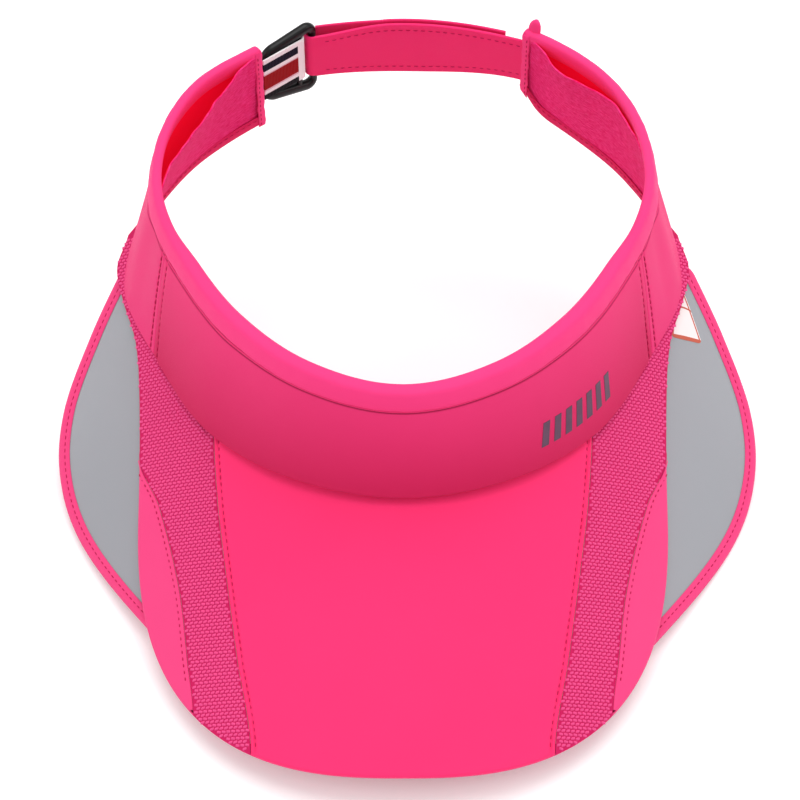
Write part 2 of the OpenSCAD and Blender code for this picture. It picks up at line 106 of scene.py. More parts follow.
def spline(points, t):
    p = np.array(points, float)
    n = len(p) - 1
    i = np.minimum(n - 1, np.floor(np.asarray(t) * n).astype(int))
    u = (np.asarray(t) * n - i)[..., None]
    a, b, c, d = p[np.maximum(0, i - 1)], p[i], p[i + 1], p[np.minimum(n, i + 2)]
    return 0.5 * (2 * b + (c - a) * u + (2 * a - 5 * b + 4 * c - d) * u ** 2 + (3 * b - a - 3 * c + d) * u ** 3)


def mix(a, b, t):
    return a + (b - a) * t


def top_r(a):
    return np.where(a < 0, curve(TOP_LEFT, -a), curve(TOP_RIGHT, a))


def low_r(a):
    return top_r(a) + curve(FLARE, np.abs(a))


def drop(a):
    return np.where(a < 0, curve(DROP_LEFT, -a), curve(DROP_RIGHT, a))


def core(a):
    return curve(CORE, np.abs(a)) + 0.1


def band(a, s, d):
    """Point of the head band: a degrees from the forehead, s from its lower to its upper edge, d inside its outer
    face."""
    a, s, d = np.broadcast_arrays(np.asarray(a, float), s, d)
    r = mix(low_r(a), top_r(a), s) - d
    t = np.radians(a)
    return np.stack([RING_X + r * np.sin(t), RING_Y - r * np.cos(t), BAND_TOP - (1 - s) * drop(a)], -1)


def band_down(a, z, d):
    """The same, z above the upper edge, so below it where z is negative."""
    a, z, d = np.broadcast_arrays(np.asarray(a, float), z, d)
    p = band(a, np.minimum(1, 1 + z / drop(a)), d)
    p[..., 2] += np.maximum(0, z)
    return p


def band_up(a, z, d):
    """The same, z above the lower edge."""
    a, z, d = np.broadcast_arrays(np.asarray(a, float), z, d)
    p = band(a, np.maximum(0, z / drop(a)), d)
    p[..., 2] += np.minimum(0, z)
    return p


def arch(x):
    w = np.minimum(np.abs(x), BRIM_W)
    root = np.sqrt(ARCH_R ** 2 - w * w)
    return root - ARCH_R - (np.abs(x) - w) * w / root


def brim(x, t, h):
    """Point of the brim's surface: x from its middle, t forward of its seam, h above it."""
    x, t, h = np.broadcast_arrays(np.asarray(x, float), t, h)
    k = arch(x) + h
    return np.stack([RING_X + x, RING_Y + SEAM_Y - t * math.cos(SLOPE) - k * math.sin(SLOPE),
                     BAND_TOP - SEAM_DROP - t * math.sin(SLOPE) + k * math.cos(SLOPE)], -1)


def sweat_d(a, s):
    """Depth of the sweatband's outer face."""
    a = np.asarray(a, float)
    return core(a) + s * np.where(a < 0, curve(LEAN_LEFT, -a), curve(LEAN_RIGHT, a))


def crown(a):
    """Rear edge of the brim under the band: x and t."""
    a = np.asarray(a, float)
    r = low_r(a) - curve(TUCK, np.abs(a))
    x, y = r * np.sin(np.radians(a)), -r * np.cos(np.radians(a))
    return x, (SEAM_Y - y - arch(x) * math.sin(SLOPE)) / math.cos(SLOPE)


def edge_x(t):
    t = np.asarray(t, float)
    front = BRIM_W * np.maximum(0, 1 - (np.maximum(t, 0) / BRIM_LEN) ** BRIM_ROUND) ** (1 / BRIM_ROUND)
    return np.where(t < 0, curve(SIDE_EDGE, t), front)


def edge_t(x):
    return BRIM_LEN * np.maximum(0, 1 - (np.abs(x) / BRIM_W) ** BRIM_ROUND) ** (1 / BRIM_ROUND)


def outline(a, inset=0.0):
    s, c = np.sin(np.radians(a)), np.cos(np.radians(a))
    return ((BRIM_W - inset) * np.sign(s) * np.abs(s) ** (2 / BRIM_ROUND),
            (BRIM_LEN - inset) * np.abs(c) ** (2 / BRIM_ROUND))


def rim(n, back=-66.0):
    """The brim's whole outline from its left rear to its right rear, evenly spaced: x and t."""
    t = np.linspace(back, 0, 40)[:-1]
    x0, t0 = outline(np.linspace(-90, 90, 400))
    line = np.concatenate([np.stack([-edge_x(t), t], -1), np.stack([x0, t0], -1),
                           np.stack([edge_x(t), t], -1)[::-1]])
    return resample(line, n)


def lens_edge(table, u):
    u = np.asarray(u, float)
    q = spline(table, 1 - np.abs(u))
    shift = np.where((u > 0) & (table is LENS_IN), 0, LENS_SHIFT)
    return np.stack([shift + q[..., 0] * np.sign(u), q[..., 1]], -1)


def strap(phi, d, z):
    phi, d, z = np.broadcast_arrays(np.asarray(phi, float), d, z)
    t = np.radians(phi)
    return np.stack([RING_X + STRAP_X + (STRAP_R + d) * np.sin(t),
                     RING_Y + STRAP_Y - STRAP_R + (STRAP_R + d) * np.cos(t), z], -1)


def strap_top(phi):
    return STRAP_Z + STRAP_H - curve([[-11, 4], [0, 0], [20, 0]], phi)


def strap_low(phi):
    return STRAP_Z + curve([[-11, 0], [4, 0], [20, 4]], phi)


def tail_d(phi):
    return curve([[-11, FOLD_IN * 2 + 1.25], [-2, 2.65], [0, 2.65], [20, 2.65]], phi)


def distance(line):
    """Distance along a line at each of its points."""
    return np.concatenate([[0], np.cumsum(np.linalg.norm(np.diff(line, axis=0), axis=1))])


def resample(line, n):
    """The same line as n points at even distances."""
    at = distance(line)
    to = np.linspace(0, at[-1], n)
    return np.stack([np.interp(to, at, line[:, k]) for k in range(line.shape[1])], -1)


def unit(v):
    return v / np.maximum(1e-9, np.linalg.norm(v, axis=-1, keepdims=True))


def outward(line):
    """Directions square to a flat outline, away from what it goes round."""
    d = unit(np.gradient(line, axis=0))
    return np.stack([-d[:, 1], d[:, 0]], -1)


def grid_uv(u, v):
    return np.stack(np.meshgrid(u, v, indexing="ij"), -1)


# ---- materials ----

def linear(r, g, b):
    return [*((c / 12.92 if c <= 0.04045 else ((c + 0.055) / 1.055) ** 2.4) for c in (r / 255, g / 255, b / 255)), 1]


class Nodes:
    """Short ways to lay out a material's nodes."""

    def __init__(self, name):
        self.m = bpy.data.materials.new(name)
        self.m.use_nodes = True
        self.t = self.m.node_tree
        self.out = self.t.nodes["Principled BSDF"]

    def put(self, socket, value):
        if isinstance(value, bpy.types.NodeSocket):
            self.t.links.new(value, socket)
        else:
            socket.default_value = value

    def new(self, kind, **inputs):
        n = self.t.nodes.new("ShaderNode" + kind)
        for key, value in inputs.items():
            self.put(n.inputs[key.replace("_", " ")], value)
        return n

    def math(self, op, a, b=0.0, c=0.0):
        n = self.t.nodes.new("ShaderNodeMath")
        n.operation = op
        for k, value in enumerate((a, b, c)):
            self.put(n.inputs[k], value)
        return n.outputs[0]

    def uv(self):
        n = self.t.nodes.new("ShaderNodeUVMap")
        n.uv_map = "mm"
        s = self.t.nodes.new("ShaderNodeSeparateXYZ")
        self.t.links.new(n.outputs[0], s.inputs[0])
        return n.outputs[0], s.outputs[0], s.outputs[1]

    def place(self):
        return self.t.nodes.new("ShaderNodeTexCoord").outputs["Object"]

    def noise(self, scale, detail=2.0, vector=None, rough=0.5):
        n = self.new("TexNoise", Scale=scale, Detail=detail, Roughness=rough)
        self.put(n.inputs["Vector"], vector or self.place())
        return n.outputs[0]

    def blend(self, fac, a, b):
        n = self.t.nodes.new("ShaderNodeMix")
        n.data_type = "RGBA"
        self.put(n.inputs[0], fac)
        self.put(n.inputs[6], a)
        self.put(n.inputs[7], b)
        return n.outputs[2]

    def ramp(self, fac, stops, constant=False):
        n = self.t.nodes.new("ShaderNodeValToRGB")
        if constant:
            n.color_ramp.interpolation = "CONSTANT"
        e = n.color_ramp.elements
        while len(e) < len(stops):
            e.new(0.5)
        for k, (at, colour) in enumerate(stops):
            e[k].position, e[k].color = at, colour
        self.put(n.inputs[0], fac)
        return n.outputs[0]

    def bump(self, height, distance, strength=1.0, then=None):
        n = self.new("Bump", Height=height, Distance=distance, Strength=strength)
        if then is not None:
            self.put(n.inputs["Normal"], then)
        return n.outputs[0]

    def finish(self, colour, normal=None, **sockets):
        self.put(self.out.inputs["Base Color"], colour)
        if normal is not None:
            self.put(self.out.inputs["Normal"], normal)
        for key, value in sockets.items():
            self.put(self.out.inputs[key.replace("_", " ")], value)
        return self.m


def wave(n, x, period):
    """Height of evenly spaced threads across x."""
    return n.math("SINE", n.math("MULTIPLY", x, 2 * math.pi / period))


def knit(name, light, dark, period=0.45, relief=0.05, rough=0.6, sheen=0.2, blotch=0.5, low=None, shaded_ditches=(),
         painted_glow=0.0):
    """Fine stretch knit with slow random changes of tone and soft creases. It darkens to the colour low towards v =
    0, painted shade towards the band's lower edge, and in the ditches at the given v, painted shade in the stitched
    grooves. Its glow is painted light: the cloth gives off a little pink light of its own."""
    n = Nodes(name)
    _, u, v = n.uv()
    threads = n.math("MULTIPLY", wave(n, u, period), wave(n, v, period * 1.2))
    slow = n.noise(22.0, 3.0)
    crease = n.noise(60.0, 2.0)
    shade = n.math("MULTIPLY_ADD", slow, blotch, n.math("MULTIPLY_ADD", threads, 0.06, 0.5 - blotch / 2))
    normal = n.bump(threads, relief * 0.001, 0.6, n.bump(crease, 0.0012, 0.22))
    colour = n.blend(shade, light, dark)
    # painted shade: the colour darkens to low towards v = 0, the band's lower edge
    if low is not None:
        near = n.ramp(n.math("MULTIPLY", v, 1 / 40), [(0.0, [1, 1, 1, 1]), (1.0, [0, 0, 0, 1])])
        colour = n.blend(near, colour, low)
    # painted shade: within 0.5 mm of each ditch line the colour darkens nearly to linear(142, 6, 54), the shade that
    # falls into the stitched groove
    for at in shaded_ditches:
        far = n.math("MULTIPLY", n.math("ABSOLUTE", n.math("SUBTRACT", v, at)), 1 / 0.5)
        colour = n.blend(n.math("MULTIPLY", n.math("SUBTRACT", 1.0, n.math("MINIMUM", far, 1.0)), 0.95), colour,
                         linear(142, 6, 54))
    # the Emission Strength set here is painted light: the cloth gives off a little pink light of its own, though it
    # is no lamp
    return n.finish(colour, normal, Roughness=rough, Sheen_Weight=sheen, Sheen_Roughness=0.5,
                    Sheen_Tint=linear(255, 120, 170), Specular_IOR_Level=0.15,
                    Emission_Color=linear(255, 12, 72), Emission_Strength=painted_glow)


def crepe(name, light, dark):
    """Wicking knit with a crinkled grain of short dashes along it."""
    n = Nodes(name)
    vector, u, v = n.uv()
    stretch = n.new("Mapping", Vector=vector, Scale=(0.33, 1.15, 1.0)).outputs[0]
    streak = n.noise(1.0, 3.0, stretch, 0.65)
    fine = n.noise(3.4, 2.0, stretch)
    height = n.ramp(n.math("MULTIPLY_ADD", fine, 0.35, n.math("MULTIPLY", streak, 0.75)),
                    [(0.42, [0, 0, 0, 1]), (0.66, [1, 1, 1, 1])])
    normal = n.bump(height, 0.0006, 0.8, n.bump(n.noise(1400.0, 2.0), 0.0002, 0.4))
    return n.finish(n.blend(height, dark, light), normal, Roughness=0.85, Specular_IOR_Level=0.08)


M = {}
M["pink"] = knit("smooth_pink_knit", linear(252, 50, 114), linear(246, 42, 106))
M["binding"] = knit("binding_pink_knit", linear(246, 62, 132), linear(238, 52, 120))
# the band's knit carries painted shade: darker towards its lower edge and in the two stitched ditches below its top
M["band"] = knit("band_pink_knit", linear(238, 54, 120), linear(226, 46, 110), blotch=0.8,
                 low=linear(198, 26, 82), shaded_ditches=[BAND_H - z for z in TOP_SEAMS])
M["strap"] = knit("strap_pink_webbing", linear(248, 46, 116), linear(238, 38, 106), relief=0.1, sheen=0.05)
# the side panels' knit carries painted shade in the two stitched ditches below their top
M["side"] = knit("side_pink_knit", linear(234, 54, 120), linear(226, 46, 110),
                 shaded_ditches=[BAND_H - z for z in TOP_SEAMS])
M["edge"] = knit("edge_pink_knit", linear(238, 70, 130), linear(230, 60, 120))
# painted light: the inside cloth glows faintly, which brightens it where it lies in the pocket's shade
M["inside"] = knit("inside_red_knit", linear(255, 20, 84), linear(246, 8, 70), period=0.6, rough=0.8, sheen=0.1,
                   painted_glow=0.1)
M["lining"] = knit("lining_weave", linear(214, 34, 94), linear(196, 26, 82), period=0.7, relief=0.1, rough=0.8)
M["tape"] = knit("tape_weave", linear(226, 36, 100), linear(210, 26, 88), period=0.8, relief=0.12, rough=0.8)
M["thread"] = knit("sewing_thread", linear(196, 14, 78), linear(172, 8, 62), period=0.3, rough=0.6, sheen=0.05)
# painted shade: the backing's dark colour stands in for the shade in the holes between the mesh's raised loops
M["mesh_low"] = knit("mesh_backing", linear(206, 34, 96), linear(186, 24, 82), period=0.5, rough=0.9, sheen=0.05)
M["mesh"] = knit("mesh_knit", linear(248, 92, 156), linear(238, 72, 138), period=0.35, relief=0.15, rough=0.7)
M["crepe"] = crepe("sweatband_crepe", linear(255, 64, 142), linear(236, 16, 98))


def plain(name, colour, other, rough, scale=40.0, relief=0.0001, **sockets):
    """Moulded or cut plastic with a faint grain."""
    n = Nodes(name)
    grain = n.noise(scale * 20, 3.0)
    return n.finish(n.blend(n.noise(scale), colour, other), n.bump(grain, relief, 0.35), Roughness=rough, **sockets)


M["black"] = plain("black_plastic", linear(6, 6, 8), linear(14, 14, 16), 0.3, Specular_IOR_Level=0.28)
M["board"] = plain("brim_board", linear(226, 226, 222), linear(210, 210, 206), 0.7)
M["foam"] = plain("band_foam_cells", linear(236, 236, 234), linear(214, 214, 212), 0.9, scale=200.0, relief=0.0005)
M["guide"] = plain("guide_plastic_bar", linear(205, 40, 96), linear(190, 30, 84), 0.5)
M["print"] = plain("dark_transfer", linear(62, 34, 58), linear(98, 60, 88), 0.28, scale=160.0, Metallic=0.35)


def lens_material():
    n = Nodes("tinted_lens")
    haze = n.noise(9.0, 1.0)
    colour = n.blend(haze, linear(150, 152, 158), linear(166, 168, 174))
    return n.finish(colour, n.bump(n.noise(14.0, 1.0), 0.0006, 0.08),
                    Roughness=0.16, Alpha=0.82, IOR=1.55, Coat_Weight=0.4, Coat_Roughness=0.05)


def ribbon_material():
    """Ribbed ribbon with stripes along it; v runs from its lower to its upper edge."""
    n = Nodes("striped_ribbon")
    _, u, v = n.uv()
    black, white, rose = linear(18, 16, 22), linear(244, 240, 242), linear(230, 190, 202)
    red, navy = linear(152, 8, 18), linear(16, 16, 36)
    stripes = n.ramp(n.math("MULTIPLY", v, 1 / 21.0), [
        (0, black), (0.13, white), (0.21, rose), (0.25, red), (0.61, rose), (0.64, white), (0.72, navy),
        (0.9, white)], True)
    ribs = wave(n, u, 0.7)
    fuzz = n.noise(1500.0, 2.0)
    shade = n.math("MULTIPLY_ADD", ribs, 0.025, n.math("MULTIPLY", fuzz, 0.08))
    bar = n.math("MULTIPLY", n.math("GREATER_THAN", u, 11.4), n.math("LESS_THAN", u, 15.4))
    colour = n.blend(bar, n.blend(shade, stripes, linear(40, 20, 30)), white)
    return n.finish(colour, n.bump(ribs, 0.00012, 0.8), Roughness=0.7, Specular_IOR_Level=0.1)


def hook_material(name, light, dark):
    n = Nodes(name)
    nap = n.noise(2600.0, 3.0)
    return n.finish(n.blend(nap, light, dark), n.bump(nap, 0.0006, 0.9), Roughness=0.95, Sheen_Weight=0.5,
                    Sheen_Roughness=0.6)


def label_material():
    """Pale film with an orange-brown border. u is the distance from its edge in millimetres, and v runs 0 to 1 along
    it, to a thicker line at its wide end and a thin curved one near its narrow end."""
    n = Nodes("label_film")
    _, u, v = n.uv()
    rim = n.math("MULTIPLY", n.math("GREATER_THAN", u, 0.25), n.math("LESS_THAN", u, 0.8))
    bend = n.math("LESS_THAN", n.math("ABSOLUTE", n.math("SUBTRACT", v, 0.36)), 0.02)
    line = n.math("MAXIMUM", rim, n.math("MAXIMUM", bend, n.math("GREATER_THAN", v, 0.93)))
    return n.finish(n.blend(line, linear(240, 226, 226), linear(190, 84, 62)), n.bump(n.noise(900.0), 0.0001, 0.2),
                    Roughness=0.35)


M["lens"] = lens_material()
M["ribbon"] = ribbon_material()
M["hook"] = hook_material("hook_tape", linear(206, 30, 90), linear(176, 18, 72))
M["label"] = label_material()


# ---- meshes ----

def solid(name, points, faces, mats, uv=None, face_mat=None, body="root", nodes=(), slot=None, sharp=50):
    """A closed piece from points in millimetres. Its faces all turn outward, whichever way they were listed."""
    p = np.asarray(points, float).reshape(-1, 3)
    tri = np.array([(f[0], f[k], f[k + 1]) for f in faces for k in range(1, len(f) - 1)])
    a, b, c = (p[tri[:, k]] - p.mean(0) for k in range(3))
    if np.einsum("ij,ij->i", np.cross(a, b), c).sum() < 0:
        faces = [f[::-1] for f in faces]
    mesh = bpy.data.meshes.new(name)
    mesh.from_pydata((p * 0.001).tolist(), [], [tuple(int(i) for i in f) for f in faces])
    for m in mats if isinstance(mats, (list, tuple)) else [mats]:
        mesh.materials.append(M[m])
    if face_mat is not None:
        mesh.polygons.foreach_set("material_index", np.asarray(face_mat, np.int32))
    uv = np.asarray(uv, float).reshape(-1, 2) if uv is not None else p[:, :2]
    loops = np.empty(len(mesh.loops), np.int32)
    mesh.loops.foreach_get("vertex_index", loops)
    layer = mesh.uv_layers.new(name="mm")
    layer.data.foreach_set("uv", uv[loops].astype(np.float32).ravel())
    mesh.polygons.foreach_set("use_smooth", np.ones(len(mesh.polygons), bool))
    mesh.set_sharp_from_angle(angle=math.radians(sharp))
    o = bpy.data.objects.new(name, mesh)
    bpy.context.scene.collection.objects.link(o)
    if body:
        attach(o, body)
    if nodes:
        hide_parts(*nodes)
    return o


def quads(n, m):
    """Faces over a grid of n by m points."""
    return [(i * m + j, (i + 1) * m + j, (i + 1) * m + j + 1, i * m + j + 1)
            for i in range(n - 1) for j in range(m - 1)]


def sheet_faces(n, m):
    """Faces of a sheet between two grids of n by m points: the near side, the far side, then the edges."""
    q, back = quads(n, m), n * m
    faces = q + [tuple(k + back for k in f[::-1]) for f in q]
    for k in range(n - 1):
        faces += [(k * m, back + k * m, back + (k + 1) * m, (k + 1) * m),
                  (k * m + m - 1, (k + 1) * m + m - 1, back + (k + 1) * m + m - 1, back + k * m + m - 1)]
    for k in range(m - 1):
        e = (n - 1) * m + k
        faces += [(k, k + 1, back + k + 1, back + k), (e, back + e, back + e + 1, e + 1)]
    return faces


def bar_faces(n, m, ring=False):
    """Faces of a bar through n loops of m points, with flat ends or, as a ring, joined end to end."""
    faces = [(i * m + j, (i + 1) % n * m + j, (i + 1) % n * m + (j + 1) % m, i * m + (j + 1) % m)
             for i in range(n if ring else n - 1) for j in range(m)]
    return faces if ring else faces + [tuple(range(m)), tuple((n - 1) * m + j for j in range(m - 1, -1, -1))]


def sheet(name, near, far, mats, uv, **kw):
    """Cloth between two grids of points, one on each face. A second material goes on the far face."""
    near, far = np.asarray(near), np.asarray(far)
    n, m = near.shape[:2]
    faces = sheet_faces(n, m)
    side = (n - 1) * (m - 1)
    two = isinstance(mats, (list, tuple)) and len(mats) > 1
    mat = [0] * side + [int(two)] * side + [0] * (len(faces) - 2 * side)
    return solid(name, np.concatenate([near.reshape(-1, 3), far.reshape(-1, 3)]), faces, mats,
                 uv=np.concatenate([uv.reshape(-1, 2)] * 2), face_mat=mat, **kw)


def swept(name, rings, mats, **kw):
    """Bar through a row of closed loops of points; its UV runs along it and round it, in millimetres."""
    rings = np.asarray(rings, float)
    n, m = rings.shape[:2]
    uv = grid_uv(distance(rings.mean(1)), distance(rings[n // 2]))
    return solid(name, rings, bar_faces(n, m), mats, uv=uv, **kw)


def spaced(n, length, roll=0.9, seams=(), fine=()):
    """Steps from 0 to 1, closer together near both ends, where cloth turns over its edge, and near each line of
    stitches: seams are distances from both ends, fine are distances from the far end alone."""
    e = roll / length * np.array([0, 0.06, 0.2, 0.45, 0.75, 1.0])
    steps = [e, 1 - e, np.linspace(e[-1], 1 - e[-1], n)]
    dip = np.array([-1.1, -0.7, -0.4, -0.15, 0.0, 0.15, 0.4, 0.7, 1.1])
    steps += [x for at in seams for x in ((at + dip) / length, 1 - (at + dip) / length)]
    steps += [1 - (at + dip * 0.6) / length for at in fine]
    u = np.unique(np.round(np.clip(np.concatenate(steps), 0, 1), 6))
    return u[np.concatenate([[True], np.diff(u) > 0.04 / length])]


def turned(u, length, roll=0.9, height=0.6):
    """How far a cloth's face lies below itself near its edges, which are rounded."""
    k = np.clip(1 - np.minimum(u, 1 - u) * length / roll, 0, 1)
    return height * (1 - np.sqrt(np.maximum(0, 1 - k * k)))


def groove(x, at, width=0.7, depth=0.22):
    """Channel that stitches pull into cloth along a line at distance at."""
    return depth * np.exp(-((x - at) / width) ** 2)


THREADS = {}


def stitches(group, line, above, length=1.9, gap=0.9, radius=0.24, body="root"):
    """Row of stitches along a line of points; above holds the same points a little off the cloth."""
    up = unit(above - line)
    at = distance(line)
    both = np.concatenate([line, up], 1)
    starts = np.arange(gap / 2, at[-1] - length, length + gap)
    u = np.array([0, 0.14, 0.5, 0.86, 1.0])
    angle = np.linspace(0, 2 * math.pi, 6, endpoint=False)
    for s in starts:
        q = np.stack([np.interp(s + u * length, at, both[:, k]) for k in range(6)], -1)
        p, n = q[:, :3], unit(q[:, 3:])
        t = unit(np.gradient(p, axis=0))
        b = np.cross(t, n)
        lift = radius * (1.5 * np.sin(math.pi * np.clip(u, 0.02, 0.98)) ** 0.6 - 1.0)
        r = radius * np.array([0.45, 0.95, 1.1, 0.95, 0.45])
        ring = ((p + n * lift[:, None])[:, None] + (b[:, None] * np.cos(angle)[:, None]
                + n[:, None] * np.sin(angle)[:, None] * 0.8) * r[:, None, None])
        THREADS.setdefault((group, body), []).append(ring)


def sew():
    """Makes each group of stitches into one piece."""
    for (group, body), rings in THREADS.items():
        n, m = 5, 6
        faces = [tuple(k * n * m + i for i in f) for k in range(len(rings)) for f in bar_faces(n, m)]
        solid("stitches_" + group, np.concatenate(rings), faces, "thread", body=body, slot="smooth_fabric")


# ---- head band ----

def panel_band(name, left, right, cols, mats, nodes, folds, r=1.1):
    """Outer panel between two ends, each given as its angle at the lower and at the upper edge, with its
    lower edge folded under. Stitches pull it in beside each seam and under the rolled strip."""
    length = 1.75 * abs(right[0] - left[0])
    u = spaced(cols, length, seams=(2.8,))
    s = spaced(30, BAND_H, fine=TOP_SEAMS)
    turn = np.linspace(0, math.radians(150), 9)[1:]

    def face(depth, inner):
        a = mix(mix(left[0], left[1], s[None]), mix(right[0], right[1], s[None]), u[:, None])
        sink = turned(u, length)[:, None] * (0 if inner else 1) + 0 * a
        for end in (u[:, None] * length, (1 - u[:, None]) * length):
            pucker = 1 + 0.5 * np.sin(s[None] * BAND_H * 1.9 + 3 * np.sin(s[None] * 9))
            sink = sink + groove(end, 2.8, 0.45, 0.34) * pucker
            sink = sink - 0.14 * pucker * np.exp(-((end - 5.2) / 2.0) ** 2)
        down = (1 - s[None]) * BAND_H
        upper, lower = TOP_SEAMS
        sink = (sink + groove(down, upper, 0.3, 0.55) + groove(down, lower, 0.26, 0.4)
                - groove(down, (upper + lower) / 2, 0.35, 0.16))
        sink = sink - folds(a, s[None] + 0 * a)
        main = band(a, s[None] + 0 * a, depth + sink)
        rr = r - depth
        under = band_up(mix(left[0], right[0], u)[:, None], -rr * np.sin(turn)[None],
                        r - rr * np.cos(turn)[None] + sink[:, :1])
        return np.concatenate([under[:, ::-1], main], 1)

    uv = grid_uv(u * length, np.concatenate([-r * turn[::-1], s * BAND_H]))
    return sheet(name, face(0.0, False), face(0.6, True), mats, uv, nodes=nodes, slot="smooth_fabric")


def soft_folds(centre, spread, height, tilt=0.0):
    """A few upright creases in a side panel."""
    def f(a, s):
        x = a - centre - tilt * (s - 0.5)
        return height * np.exp(-(x / spread) ** 2) * np.sin(math.pi * np.clip(s, 0, 1)) ** 0.7
    return f


def right_folds(a, s):
    return soft_folds(84, 3.0, 0.9, 5)(a, s) + soft_folds(92, 2.2, 0.7, 4)(a, s) - soft_folds(78, 2.6, 0.6, 6)(a, s)


def left_folds(a, s):
    return soft_folds(-83, 3.2, 0.7, -5)(a, s) - soft_folds(-77, 3.0, 0.5, -5)(a, s)


def front_folds(a, s):
    wave_ = 0.35 * np.sin(np.radians(a * 5.0) + 2.2 * s) * np.sin(math.pi * np.clip(s, 0, 1))
    return wave_ + soft_folds(-46, 6, 0.35, 12)(a, s)


panel_band("band_front", (-SIDE_SEAM[0], -SIDE_SEAM[1]), SIDE_SEAM, 110, ["band", "inside"],
           ["band_front_panel"], front_folds)
panel_band("band_left_side", (-LEFT_END, -LEFT_END), (-SIDE_SEAM[0] - 0.1, -SIDE_SEAM[1] - 0.1), 60,
           ["side", "inside"], ["band_left_panel"], left_folds, 0.75)
panel_band("band_right_side", (SIDE_SEAM[0] + 0.1, SIDE_SEAM[1] + 0.1), (RIGHT_END, RIGHT_END), 64,
           ["side", "inside"], ["band_right_panel"], right_folds, 0.75)

for side in (-1, 1):
    for offset in (-1, 1):
        s = np.linspace(0.01, 0.81, 60)
        a = side * (mix(SIDE_SEAM[0], SIDE_SEAM[1], s) + offset * 1.6)
        stitches("temple_seams", band(a, s, 0.05), band(a, s, -0.9), 2.1, 0.6, 0.3)


def binding():
    """Rolled strip over the top edge: flat on its outside, with a tight roll over the top."""
    out = [(0.15, -6.9), (-0.35, -6.85), (-0.8, -6.55), (-1.0, -5.6), (-1.12, -4.0), (-1.14, -2.4), (-1.1, -1.0),
           (-0.95, -0.2), (-0.55, 0.45), (0.1, 0.8)]
    rings = []
    for x in np.linspace(-LEFT_END, RIGHT_END, 260):
        c = float(core(x)) + 1.1
        bulge = 1 + 0.06 * math.sin(x * 0.9) + 0.04 * math.sin(x * 2.3 + 1)
        loop = [(d * bulge, z) for d, z in out] + [
            (c * 0.5, 1.0), (c, 0.8), (c + 0.75, 0.1), (c + 1.0, -1.5), (c + 0.9, -4.0), (c + 0.5, -6.0),
            (c + 0.1, -6.0), (c + 0.2, -3.5), (c * 0.6, -1.2), (0.3, -1.0), (-0.1, -3.0), (0.1, -6.2)]
        rings.append([band_down(x, z, d) for d, z in loop])
    return swept("band_binding", rings, "binding", nodes=["band_top_binding"], slot="smooth_fabric", sharp=70)


binding()


def sweat():
    """Inner band with soft ripples where its top edge hangs free."""
    a = np.linspace(-LEFT_END + 0.5, RIGHT_END - 0.5, 420)
    height = 44
    s = mix(0.01, 0.955, spaced(26, height, seams=(3.0,)))
    free = np.where(a < 0, np.clip((-a - 84) / 10, 0, 1), np.clip((a - 92) / 14, 0, 1))[:, None]
    x = a[:, None]
    ripple = (0.35 * np.sin(np.radians(x * 13) + 2.5 * s[None]) + 0.22 * np.sin(np.radians(x * 29) - 4 * s[None])
              + 0.14 * np.sin(np.radians(x * 61) + 7 * s[None])) * s[None] ** 1.5 * free
    ripple = ripple + 1.6 * np.exp(-((x + 106) / 12) ** 2) * s[None]
    dip = 0.5 * np.sin(np.radians(x * 17) + 1.0) * free * s[None] ** 3
    base = sweat_d(x, s[None]) + np.maximum(ripple, -sweat_d(x, s[None]) + core(x) + 1.2 * s[None])
    base = base + groove(s[None] * height, 3.0, 0.5, 0.25)
    roll = turned((s - 0.01) / 0.945, height, 1.1, 0.45)[None]
    S = s[None] + 0 * x - dip * 0.02
    uv = grid_uv(np.radians(a) * 95, s * BAND_H)
    return sheet("sweatband_piece", band(x + 0 * S, S, base + 0.9 - roll), band(x + 0 * S, S, base + roll * 0.5),
                 ["crepe", "inside"], uv, nodes=["sweatband"], slot="sweatband_fabric")


sweat()


def hem(name, left, right, node):
    a = np.linspace(left, right, 70)
    rings = []
    for x in a:
        c = float(core(x)) + 1.2
        loop = [(-0.35, 2.3), (-0.7, 1.6), (-0.75, 0.3), (-0.3, -0.7), (c * 0.5, -0.95), (c + 0.4, -0.7),
                (c + 0.95, 0.2), (c + 0.95, 3.2), (c + 0.6, 4.2), (c + 0.2, 4.1), (c + 0.3, 0.5), (c * 0.5, -0.15),
                (-0.1, 0.1), (-0.1, 2.2)]
        rings.append([band_up(x, z, d) for d, z in loop])
    swept(name, rings, "tape", nodes=[node], slot="sweatband_fabric", sharp=70)
    stitches("hems", np.array([band_up(x, 3.1, float(core(x)) + 2.15) for x in a]),
             np.array([band_up(x, 3.1, float(core(x)) + 3.1) for x in a]), 1.8, 0.9, 0.2)
    stitches("hems", band_up(a, 1.4, -0.72 + 0 * a), band_up(a, 1.4, -1.7 + 0 * a), 1.8, 0.9, 0.2)


hem("hem_tape_left", -LEFT_END, -98.5, "hem_left")
hem("hem_tape_right", 98.5, RIGHT_END, "hem_right")


